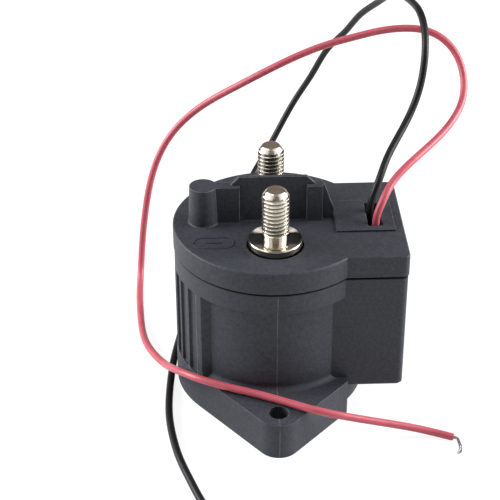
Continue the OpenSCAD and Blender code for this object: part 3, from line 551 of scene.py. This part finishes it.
def moulded_plastic(colours, seam, top):
    """Charcoal moulding: fine spark-eroded grain, cloudy flow and a little dust.

    Sharp edges and the parting line are pale with painted highlight; the joint under the lid and
    marked creases are dark with painted shade.
    The seam is the height of that joint, and top the height of the lid's face.
    """
    f = Finish("moulded_plastic")
    place = f.coordinates()
    x, y, z = f.node("ShaderNodeSeparateXYZ", Vector=place).outputs
    # Painted shade that the polarity mark carries on its points
    painted_mark_shade = f.attribute("painted_mark_shade")
    grain = f.noise(place, 5200.0, 3.0, 0.65)
    coarse = f.noise(place, 1000.0, 3.0, 0.7)
    cloud = f.noise(place, 90.0, 3.0, 0.55)
    soft_edge = f.node("ShaderNodeBevel", {"samples": 6}, Radius=0.28 * MM).outputs[0]
    face = f.node("ShaderNodeNewGeometry").outputs["True Normal"]
    flatness = f.node("ShaderNodeVectorMath", {"operation": "DOT_PRODUCT"})
    f.set(flatness.inputs[0], soft_edge)
    f.set(flatness.inputs[1], face)
    upward = f.node("ShaderNodeSeparateXYZ", Vector=soft_edge).outputs[2]
    # Painted highlight on sharp edges that face sideways or up: weaker up to the wire cover, full on
    # higher edges, none on the shaded mark
    edge = f.product(
        f.math("POWER", f.ramp(flatness.outputs["Value"], 0.99, 0.78), 1.4),
        f.ramp(f.noise(place, 420.0, 2.0), 0.3, 0.6, 0.35, 0.95),
        f.ramp(upward, -0.5, -0.1),
        f.ramp(z, top + 1.0 * MM, top + 1.5 * MM, 0.45, 1.0),
        f.math("LESS_THAN", painted_mark_shade, 0.01),
    )
    # Painted shade in the joint under the lid
    joint_low = seam - 0.2 * MM
    joint_high = seam + 0.55 * MM
    joint = f.product(f.math("GREATER_THAN", z, joint_low), f.math("LESS_THAN", z, joint_high))
    # The parting line down the front, a real mould line drawn as a painted highlight
    line = f.product(
        f.ramp(f.math("ABSOLUTE", x), 0.05 * MM, 0.13 * MM, 1.0, 0.0),
        f.math("LESS_THAN", y, -20.0 * MM),
        f.math("LESS_THAN", z, joint_low),
        f.ramp(f.noise(place, 260.0, 2.0), 0.35, 0.6, 0.06, 0.3),
    )
    cells = f.node("ShaderNodeTexVoronoi", Vector=place, Scale=190.0, Randomness=1.0)
    chosen = f.node("ShaderNodeSeparateColor", Color=cells.outputs["Color"]).outputs[0]
    speck = f.product(
        f.ramp(cells.outputs["Distance"], 0.012, 0.022, 1.0, 0.0),
        f.math("GREATER_THAN", chosen, 0.88),
    )
    light = rgba(colours.plastic_light)
    base = f.mix(f.product(f.ramp(cloud, 0.3, 0.7), 0.16), rgba(colours.plastic), light)
    base = f.mix(f.product(f.ramp(grain, 0.35, 0.7), 0.12), base, light)
    base = f.mix(f.product(f.ramp(coarse, 0.36, 0.64), 0.45), base, light)
    base = f.mix(f.math("MAXIMUM", edge, line), base, rgba(colours.plastic_highlight))
    base = f.mix(f.product(f.math("MAXIMUM", painted_mark_shade, joint), 0.9), base, rgba(PAINTED_SHADE))
    base = f.mix(f.product(speck, 0.6), base, rgba(DUST))
    rough = f.ramp(grain, 0.25, 0.75, 0.5, 0.68)
    normal = f.bump(coarse, 0.07 * MM, 0.7, soft_edge)
    normal = f.bump(grain, 0.035 * MM, 0.6, normal)
    return f.surface(Base_Color=base, Roughness=rough, Normal=normal, Specular_IOR_Level=0.33)


def nickel_plate(colours, seat_top, axis_y):
    """Bright warm nickel over turned metal: fine marks round the axis and a little tarnish.

    The grooves carry painted shade and the side of the lug seat a painted dark reflection. The
    seat's face, at the height seat_top, is polished in front of its stud and turned more coarsely
    behind it. The studs stand axis_y before and behind the middle.
    """
    f = Finish("nickel_plate")
    _, y, height = f.node("ShaderNodeSeparateXYZ", Vector=f.coordinates()).outputs
    along = f.coordinates("UV")
    turning = f.noise(f.stretched(along, (3.0, 9000.0, 1.0)), 1.0, 3.0, 0.6)
    cloud = f.noise(f.coordinates(), 350.0, 3.0, 0.6)
    base = f.mix(f.ramp(cloud, 0.35, 0.75, 0.0, 0.4), rgba(colours.nickel), rgba(TARNISH))
    # Painted shade deep in the thread's grooves
    base = f.mix(f.ramp(f.attribute("groove"), 0.36, 0.95, 0.0, 0.74), base, rgba(GROOVE_SHADE))
    # Painted dark reflection on the side of the lug seat, just below its face
    side = f.ramp(height, seat_top - 0.5 * MM, seat_top - 0.3 * MM, 0.6, 0.0)
    base = f.mix(side, base, rgba(SEAT_SIDE_REFLECTION))
    above_seat = f.ramp(height, seat_top, seat_top + 0.1 * MM)
    on_seat = f.ramp(above_seat, 0.0, 1.0, 1.0, 0.0)
    behind = f.math("SUBTRACT", y, f.product(f.math("SIGN", y), abs(axis_y)))
    coarse = f.ramp(behind, 2.5 * MM, 2.9 * MM)
    stud_rough = f.product(f.ramp(turning, 0.2, 0.8, 0.14, 0.3), above_seat)
    seat_rough = f.product(on_seat, f.ramp(coarse, 0.0, 1.0, 0.09, 0.36))
    around = f.node("ShaderNodeTangent", {"direction_type": "UV_MAP", "uv_map": "along"}).outputs[0]
    return f.surface(
        Base_Color=base, Roughness=f.math("ADD", stud_rough, seat_rough), Metallic=1.0,
        Anisotropic=f.product(on_seat, coarse), Anisotropic_Rotation=0.25, Tangent=around,
        Normal=f.bump(turning, 0.012 * MM, 0.25),
    )


def lead_insulation(name, colour, cloud_colour, specular):
    """Extruded insulation: satin skin with faint draw marks along it and soft clouds."""
    f = Finish(name)
    along = f.coordinates("UV")
    drawn = f.noise(f.stretched(along, (14.0, 60.0, 1.0)), 1.0, 2.0, 0.5)
    cloud = f.noise(f.coordinates(), 160.0, 3.0, 0.5)
    base = f.mix(f.ramp(cloud, 0.3, 0.75, 0.0, 0.5), rgba(colour), rgba(cloud_colour))
    rough = f.ramp(drawn, 0.25, 0.75, 0.34, 0.46)
    normal = f.bump(drawn, 0.02 * MM, 0.3)
    return f.surface(Base_Color=base, Roughness=rough, Normal=normal, Specular_IOR_Level=specular)


def worked_metal(name, colour, marks, low_rough, high_rough):
    """Turned, drawn or plated metal: clouded colour and fine marks at the given scale."""
    f = Finish(name)
    place = f.coordinates()
    mark = f.noise(f.stretched(place, (1.0, 1.0, 6.0)), marks, 3.0, 0.6)
    cloud = f.noise(place, 220.0, 2.0, 0.5)
    dull = tuple(0.72 * part for part in colour)
    base = f.mix(f.ramp(cloud, 0.3, 0.75, 0.0, 0.6), rgba(colour), rgba(dull))
    rough = f.ramp(mark, 0.25, 0.75, low_rough, high_rough)
    normal = f.bump(mark, 0.01 * MM, 0.3)
    return f.surface(Base_Color=base, Roughness=rough, Metallic=1.0, Normal=normal)


def worked_solid(name, colour, grain_scale, low_rough, high_rough, specular):
    """Moulded, fired or coated solid: clouded colour over a fine grain."""
    f = Finish(name)
    place = f.coordinates()
    grain = f.noise(place, grain_scale, 3.0, 0.6)
    cloud = f.noise(place, 140.0, 2.0, 0.5)
    dull = tuple(0.82 * part for part in colour)
    base = f.mix(f.ramp(cloud, 0.3, 0.75, 0.0, 0.7), rgba(colour), rgba(dull))
    rough = f.ramp(grain, 0.25, 0.75, low_rough, high_rough)
    normal = f.bump(grain, 0.015 * MM, 0.4)
    return f.surface(Base_Color=base, Roughness=rough, Normal=normal, Specular_IOR_Level=specular)


def wound_wire(colours):
    """Enamelled wire laid in turns: ridges up the coil with a lacquer sheen, and painted shade in
    the hollows between turns.
    """
    f = Finish("wound_wire")
    place = f.coordinates()
    turns = f.node(
        "ShaderNodeTexWave", {"bands_direction": "Z"}, Vector=place, Scale=620.0, Distortion=0.4
    ).outputs[1]
    # Painted shade in the hollows between the turns
    base = f.mix(f.ramp(turns, 0.0, 0.5), rgba(WIRE_HOLLOW_SHADE), rgba(colours.winding))
    return f.surface(
        Base_Color=base, Roughness=f.ramp(turns, 0.0, 1.0, 0.5, 0.28), Metallic=0.7,
        Normal=f.bump(turns, 0.12 * MM, 0.8),
    )


def dress(nodes, material):
    """Gives solids that show as they are their finish."""
    for name in nodes:
        slots = frame["nodes"][name].data.materials
        slots.clear()
        slots.append(material)


# Pieces


class CONTACTOR_OT_camera(bpy.types.Operator):
    """Sets the camera where the photograph was taken"""

    bl_idname = "contactor.camera"
    bl_label = "Camera"

    def execute(self, context):
        """Builds the camera's axes from its elevation, azimuth and roll about the target."""
        c = looks(context).camera
        back = Vector((
            math.sin(c.azimuth) * math.cos(c.elevation),
            -math.cos(c.azimuth) * math.cos(c.elevation),
            math.sin(c.elevation),
        ))
        level = (-back).cross(Vector((0, 0, 1))).normalized()
        rise = level.cross(-back)
        right = math.cos(c.roll) * level + math.sin(c.roll) * rise
        up = math.cos(c.roll) * rise - math.sin(c.roll) * level
        eye = Vector((c.target_x, 0.0, c.target_z)) + c.distance * back
        data = bpy.data.cameras.new("photo_camera")
        data.sensor_fit = "HORIZONTAL"
        data.sensor_width = SENSOR_MM
        data.lens = c.focal_px / PHOTO_PX * SENSOR_MM
        data.clip_start = 0.01
        data.clip_end = 20.0
        camera = bpy.data.objects.new("photo_camera", data)
        turn = Matrix((right, up, back)).transposed().to_4x4()
        camera.matrix_world = Matrix.Translation(eye) @ turn
        context.scene.collection.objects.link(camera)
        context.scene.camera = camera
        return {"FINISHED"}


class CONTACTOR_OT_leads(bpy.types.Operator):
    """Lays the two coil leads with their bare strands"""

    bl_idname = "contactor.leads"
    bl_label = "Leads"

    def execute(self, context):
        """Carries a circle along each lead's route, and small ones along the twisted strands."""
        sizes = looks(context).sizes
        c = looks(context).colours
        tin = worked_metal("tinned_strands", c.tin, 2600.0, 0.22, 0.4)
        red = lead_insulation("red_insulation", c.red, c.red_cloud, 0.42)
        black = lead_insulation("black_insulation", c.black, c.black_cloud, 0.23)
        self.lay("red", RED_ROUTE, RED_STRAND_ROUTE, sizes, red, tin)
        self.lay("black", BLACK_ROUTE, BLACK_STRAND_ROUTE, sizes, black, tin)
        return {"FINISHED"}

    def lay(self, name, route, strand_route, sizes, insulation, tin):
        """One lead, from the board through the slot to its bare end, never below the floor."""
        path = spline_path(np.array(route) * MM, LEAD_STEP)
        path[:, 2] = np.maximum(path[:, 2], 0.5 * sizes.lead_d)
        lengths = distance_along(path)
        radius = np.full(len(path), 0.5 * sizes.lead_d)
        radius[-1] *= CUT_END
        points, faces = closed_grid(tube_points(path, radius, LEAD_COLUMNS))
        uv = grid_uv(len(path), LEAD_COLUMNS, lengths)
        lead = add_piece(f"{name}_lead_insulation", points, faces, insulation, sharp_angle=50, uv=uv)
        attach(lead, HOUSING)
        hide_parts(f"{name}_lead")
        strands = self.strands(name, strand_route, sizes, tin)

    def strands(self, name, route, sizes, tin):
        """Seven strands, one in the middle and six turning round it.

        Their angle grows with the length, they open towards the tip with its square, and each of
        the six is cut at a length of its own.
        """
        radius = 0.5 * sizes.strand_d
        middle = spline_path(np.array(route) * MM, STRAND_STEP)
        side, rise = path_axes(middle)
        along = distance_along(middle)
        grids = [closed_grid(tube_points(middle, radius, STRAND_COLUMNS))]
        opening = SPREAD_START + SPREAD_GAIN * (along / along[-1]) ** 2
        spread = sizes.strand_spread * opening
        for strand in range(OUTER_STRANDS):
            angle = 2.0 * np.pi * (strand / OUTER_STRANDS + along / sizes.strand_lay)
            offset = np.cos(angle)[:, None] * side + np.sin(angle)[:, None] * rise
            wire = middle + spread[:, None] * offset
            wire[:, 2] = np.maximum(wire[:, 2], radius)
            uneven = -strand % OUTER_STRANDS / (OUTER_STRANDS - 1)
            reach = int(len(wire) * (SHORTEST_STRAND + (1.0 - SHORTEST_STRAND) * uneven))
            grids.append(closed_grid(tube_points(wire[:reach], radius, STRAND_COLUMNS)))
        points, faces = join_grids(grids)
        piece = add_piece(f"{name}_bare_strands", points, faces, tin, sharp_angle=60)
        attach(piece, HOUSING)
        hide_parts(f"{name}_lead_strands")
        return piece


class CONTACTOR_OT_studs(bpy.types.Operator):
    """Turns the two terminal studs with their threads"""

    bl_idname = "contactor.studs"
    bl_label = "Terminal studs"

    def execute(self, context):
        """Revolves the stud's profile and lets a helical groove into its thread."""
        mounts = {mount["name"]: mount for mount in frame["record"]["mounts"]}
        seat_top = mounts["front_lug_seat"]["pos_m"][2]
        nickel = nickel_plate(looks(context).colours, seat_top, mounts["rear_stud"]["pos_m"][1])
        for name in ("front_stud", "rear_stud"):
            self.turn(name, mounts[name], seat_top, looks(context).sizes, nickel)
        return {"FINISHED"}

    def turn(self, name, pin, seat_top, sizes, nickel):
        """One stud: its radius at each angle and height is the smaller of two.

        The first is the turned profile of shank, lug seat, shaft and rounded tip. The second is the
        thread, which rises and falls with the height less the turn, and fades out into the neck.
        """
        low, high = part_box(name)
        _, axis_y, thread_middle = pin["pos_m"]
        thread_low = thread_middle - 0.5 * pin["dims"]["length_mm"] * MM
        thread_high = thread_middle + 0.5 * pin["dims"]["length_mm"] * MM
        braze_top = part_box("stud_braze_rings")[1].z
        stud_r, seat_r = pin["dims"]["r_mm"] * MM, 0.5 * (high.x - low.x)
        shank_r, flat_r = 0.5 * sizes.shank_d, 0.5 * sizes.tip_flat_d
        bend = np.linspace(0.0, 0.5 * np.pi, BEVEL_ROWS)
        tip = np.linspace(0.0, 1.0, TIP_ROWS)
        threaded = np.arange(seat_top + NECK_START, thread_high, THREAD_STEP)
        z = np.concatenate([
            [low.z, low.z, braze_top, braze_top],
            seat_top - sizes.seat_bevel * (1.0 - np.sin(bend)),
            [seat_top],
            threaded,
            high.z - (high.z - thread_high) * (1.0 - tip) ** TIP_ROUND,
            [high.z],
        ])
        r = np.concatenate([
            [END_RING * shank_r, shank_r, shank_r, seat_r],
            seat_r - sizes.seat_bevel * (1.0 - np.cos(bend)),
            [stud_r],
            np.full(len(threaded), stud_r),
            stud_r - (stud_r - flat_r) * tip,
            [END_RING * flat_r],
        ])
        angle = np.linspace(0.0, 2.0 * np.pi, STUD_COLUMNS, endpoint=False)
        phase = (z[:, None] / sizes.thread_pitch - angle[None] / (2.0 * np.pi)) % 1.0
        rise = np.clip(CREST_HEIGHT - FLANK_SLOPE * np.abs(phase - 0.5), 0.0, 1.0)
        fade = np.clip((z - thread_low) / sizes.thread_out + 0.5, 0.0, 1.0)[:, None]
        neck_r = 0.5 * sizes.neck_d
        thread_r = neck_r + fade * (stud_r - sizes.thread_depth * (1.0 - rise) - neck_r)
        cut = (z > seat_top)[:, None] & (z < high.z)[:, None]
        radius = np.where(cut, np.minimum(r[:, None], thread_r), r[:, None])
        rings = np.stack([
            radius * np.cos(angle)[None],
            axis_y + radius * np.sin(angle)[None],
            np.broadcast_to(z[:, None], radius.shape),
        ], axis=-1)
        points, faces = closed_grid(rings)
        uv = grid_uv(len(z), STUD_COLUMNS, distance_along(np.stack([r, z], axis=-1)))
        stud = add_piece(f"threaded_{name}", points, faces, nickel, sharp_angle=38, uv=uv)
        # How deep each point lies in the thread, which sets the painted shade in the grooves
        depth = np.clip(fade * (r[:, None] - radius) / sizes.thread_depth, 0.0, 1.0).ravel()
        add_attribute(stud, "groove", np.concatenate([depth, [0.0, 0.0]]))
        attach(stud, HOUSING)
        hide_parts(name)


class CONTACTOR_OT_springs(bpy.types.Operator):
    """Winds the return spring and the contact spring"""

    bl_idname = "contactor.springs"
    bl_label = "Springs"

    def execute(self, context):
        """Carries a circle along a helix between each spring's two seats."""
        sizes = looks(context).sizes
        wire = worked_metal("spring_wire", looks(context).colours.steel, 2400.0, 0.25, 0.42)
        self.wind("return", HOUSING, "plunger_slide", sizes.return_wire, RETURN_TURNS, True, wire)
        self.wind("contact", PLUNGER, "bridge_slide", sizes.contact_wire, CONTACT_TURNS, False, wire)
        return {"FINISHED"}

    def wind(self, name, body, joint, wire_d, turns, held_at_top, wire):
        """One spring on the z axis: x, y on a circle, z rising evenly with the angle."""
        node = f"{name}_spring"
        low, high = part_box(node)
        coil_r = high.x - 0.5 * wire_d
        angle = np.linspace(0.0, 2.0 * np.pi * turns, SPRING_ROWS_A_TURN * turns)
        height = np.linspace(low.z + 0.5 * wire_d, high.z - 0.5 * wire_d, len(angle))
        path = np.stack([coil_r * np.cos(angle), coil_r * np.sin(angle), height], axis=-1)
        points, faces = closed_grid(tube_points(path, 0.5 * wire_d, SPRING_COLUMNS))
        spring = add_piece(f"{name}_coil_spring", points, faces, wire, sharp_angle=60)
        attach(spring, body)
        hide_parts(node)
        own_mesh(spring)


class CONTACTOR_OT_housing(bpy.types.Operator):
    """Finishes the case, the lid and the wire cover and adds the polarity mark"""

    bl_idname = "contactor.housing"
    bl_label = "Housing"

    def execute(self, context):
        """Gives the mouldings their finish and lays the mark on the lid, with painted shade darkest
        at its rear.
        """
        sizes = looks(context).sizes
        lid_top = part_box("wire_cover")[1].z - sizes.cover_proud
        plastic = moulded_plastic(looks(context).colours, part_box("case")[1].z, lid_top)
        dress(("case", "lid", "wire_cover"), plastic)
        middle = np.array((sizes.mark_x, sizes.mark_y, lid_top))
        points, faces = join_grids([self.rim(middle, sizes), self.bar(middle, sizes)])
        mark = add_piece("polarity_mark", points, faces, plastic, sharp_angle=35)
        # Painted shade on the mark: its rim darkens towards the rear and its bar is dark
        far = (points[:, 1] - middle[1]) / (0.5 * sizes.mark_w)
        rim_shade = RIM_SHADE + RIM_SHADE_GAIN * np.clip(far + GAIN_START, 0.0, 1.0)
        add_attribute(mark, "painted_mark_shade", np.where(np.abs(far) < BAR_REACH, BAR_SHADE, rim_shade))
        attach(mark, HOUSING)
        return {"FINISHED"}

    def rim(self, middle, sizes):
        """A pill-shaped line: a low section with sloping sides carried round the pill.

        The pill is a circle whose right and left halves are moved apart.
        """
        columns = MARK_COLUMNS
        angle = np.linspace(0.0, 2.0 * np.pi, columns, endpoint=False) + np.pi / columns
        section_r = 0.5 * sizes.mark_w + np.array([0.5, 0.3, -0.3, -0.5]) * sizes.mark_line
        section_z = np.array([-0.2, 1.0, 1.0, -0.2]) * sizes.mark_proud
        rows = len(section_r)
        half_straight = 0.5 * (sizes.mark_l - sizes.mark_w)
        rings = np.stack([
            middle[0] + half_straight * np.sign(np.cos(angle)) + section_r[:, None] * np.cos(angle),
            middle[1] + section_r[:, None] * np.sin(angle),
            middle[2] + np.broadcast_to(section_z[:, None], (rows, columns)),
        ], axis=-1)
        return rings.reshape(-1, 3), [ring_quads(rows, columns, rows)]

    def bar(self, middle, sizes):
        """A raised bar: a flat-topped section carried along its length."""
        x = np.array([-0.5, -0.47, 0.47, 0.5]) * sizes.bar_l
        y = np.array([-0.5, -0.45, -0.3, 0.3, 0.45, 0.5]) * sizes.bar_w
        z = np.array([-0.2, 0.7, 1.0, 1.0, 0.7, -0.2]) * sizes.mark_proud
        rings = np.stack(np.broadcast_arrays(x[:, None], y[None], z[None]), axis=-1) + middle
        points, faces = closed_grid(rings)
        return points, [kind[:, ::-1] for kind in faces]


class CONTACTOR_OT_inside(bpy.types.Operator):
    """Finishes the pieces inside: magnet system, contacts, chamber and board"""

    bl_idname = "contactor.inside"
    bl_label = "Inside"

    def execute(self, context):
        """Gives each inner piece the finish of its own stuff."""
        c = looks(context).colours
        dress(("coil_winding",), wound_wire(c))
        for nodes, name, colour, *numbers in INNER_METALS:
            dress(nodes, worked_metal(name, getattr(c, colour), *numbers))
        for nodes, name, colour, *numbers in INNER_SOLIDS:
            dress(nodes, worked_solid(name, getattr(c, colour), *numbers))
        return {"FINISHED"}


class CONTACTOR_OT_stage(bpy.types.Operator):
    """Sets the white floor, the soft lamps, the dim cards and the white surroundings"""

    bl_idname = "contactor.stage"
    bl_label = "Stage"

    def execute(self, context):
        """Builds a floor, lamps, cards and a world that looks white and lights at a plain level."""
        context.scene.view_settings.view_transform = "Standard"
        self.surroundings(context)
        self.floor()
        for lamp in LAMPS:
            self.lamp(*lamp)
        for card in CARDS:
            self.card(*card)
        return {"FINISHED"}

    def sheet(self, name, x, y, z, material):
        """A flat sheet with four corners, whose y and z go together."""
        mesh = bpy.data.meshes.new(name)
        corners = [(x[0], y[0], z[0]), (x[1], y[0], z[0]), (x[1], y[1], z[1]), (x[0], y[1], z[1])]
        mesh.from_pydata(corners, [], [(0, 1, 2, 3)])
        mesh.materials.append(material)
        sheet = bpy.data.objects.new(name, mesh)
        bpy.context.scene.collection.objects.link(sheet)
        return sheet

    def card(self, name, x, y, z, colour):
        """A dim card out of view that only shows in gloss, as the room round a light tent does."""
        f = Finish(name)
        glow = f.node("ShaderNodeEmission", Color=rgba(colour), Strength=1.0)
        card = self.sheet(name, x, y, z, f.end(glow))
        card.visible_camera = False
        card.visible_diffuse = False
        card.visible_transmission = False
        card.visible_shadow = False

    def seen_directly(self, tree):
        """A number that is 1 on rays from the camera, from gloss and through glass."""
        path = tree.nodes.new("ShaderNodeLightPath")
        total = path.outputs["Is Camera Ray"]
        for name in ("Is Glossy Ray", "Is Transmission Ray"):
            join = tree.nodes.new("ShaderNodeMath")
            join.operation = "MAXIMUM"
            tree.links.new(total, join.inputs[0])
            tree.links.new(path.outputs[name], join.inputs[1])
            total = join.outputs[0]
        return total

    def surroundings(self, context):
        """White where it is seen, and a softer grey light where it only lights."""
        world = bpy.data.worlds.new("white_surroundings")
        world.use_nodes = True
        tree = world.node_tree
        tree.nodes.clear()
        mix = tree.nodes.new("ShaderNodeMixShader")
        tree.links.new(self.seen_directly(tree), mix.inputs[0])
        for socket, strength in ((1, WORLD_LIGHT), (2, 1.0)):
            sky = tree.nodes.new("ShaderNodeBackground")
            sky.inputs["Color"].default_value = rgba(WHITE)
            sky.inputs["Strength"].default_value = strength
            tree.links.new(sky.outputs[0], mix.inputs[socket])
        out = tree.nodes.new("ShaderNodeOutputWorld")
        tree.links.new(mix.outputs[0], out.inputs[0])
        context.scene.world = world

    def floor(self):
        """A sheet that looks white, takes a soft shadow and throws light back as card does."""
        f = Finish("white_card")
        card = f.node("ShaderNodeBsdfDiffuse", Color=rgba(FLOOR_COLOUR))
        glow = f.node("ShaderNodeEmission", Color=rgba(WHITE), Strength=FLOOR_GLOW)
        mix = f.node("ShaderNodeMixShader")
        f.set(mix.inputs[0], f.product(self.seen_directly(f.tree), FLOOR_GLOW_SHARE))
        f.set(mix.inputs[1], card.outputs[0])
        f.set(mix.inputs[2], glow.outputs[0])
        reach = (-FLOOR_HALF, FLOOR_HALF)
        floor = self.sheet("floor", reach, reach, (0.0, 0.0), f.end(mix))

    def lamp(self, name, place, target, size, watts):
        """A square area lamp that faces its target."""
        data = bpy.data.lights.new(name, "AREA")
        data.shape = "SQUARE"
        data.size = size
        data.energy = watts
        lamp = bpy.data.objects.new(name, data)
        lamp.location = place
        facing = Vector(target) - Vector(place)
        lamp.rotation_euler = facing.to_track_quat("-Z", "Y").to_euler()
        bpy.context.scene.collection.objects.link(lamp)


OPERATORS = (
    CONTACTOR_OT_camera,
    CONTACTOR_OT_leads,
    CONTACTOR_OT_studs,
    CONTACTOR_OT_housing,
    CONTACTOR_OT_springs,
    CONTACTOR_OT_inside,
    CONTACTOR_OT_stage,
)


class CONTACTOR_PT_looks(bpy.types.Panel):
    """Lists the steps that dress the contactor"""

    bl_label = "Contactor"
    bl_idname = "CONTACTOR_PT_looks"
    bl_space_type = "VIEW_3D"
    bl_region_type = "UI"
    bl_category = "Contactor"

    def draw(self, context):
        """One button a step."""
        for operator in OPERATORS:
            self.layout.operator(operator.bl_idname)


CLASSES = (
    ContactorCamera, ContactorSizes, ContactorColours, ContactorLooks,
    *OPERATORS, CONTACTOR_PT_looks,
)


def register():
    """Registers the classes and the scene's settings."""
    for cls in CLASSES:
        bpy.utils.register_class(cls)
    bpy.types.Scene.contactor_looks = bpy.props.PointerProperty(type=ContactorLooks)


def unregister():
    """Removes the settings and the classes."""
    del bpy.types.Scene.contactor_looks
    for cls in reversed(CLASSES):
        bpy.utils.unregister_class(cls)


def main():
    """Dresses the contactor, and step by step."""
    register()
    bpy.ops.contactor.camera()
    bpy.ops.contactor.leads()
    bpy.ops.contactor.studs()
    bpy.ops.contactor.housing()
    bpy.ops.contactor.springs()
    bpy.ops.contactor.inside()
    bpy.ops.contactor.stage()


if __name__ == "__main__":
    main()
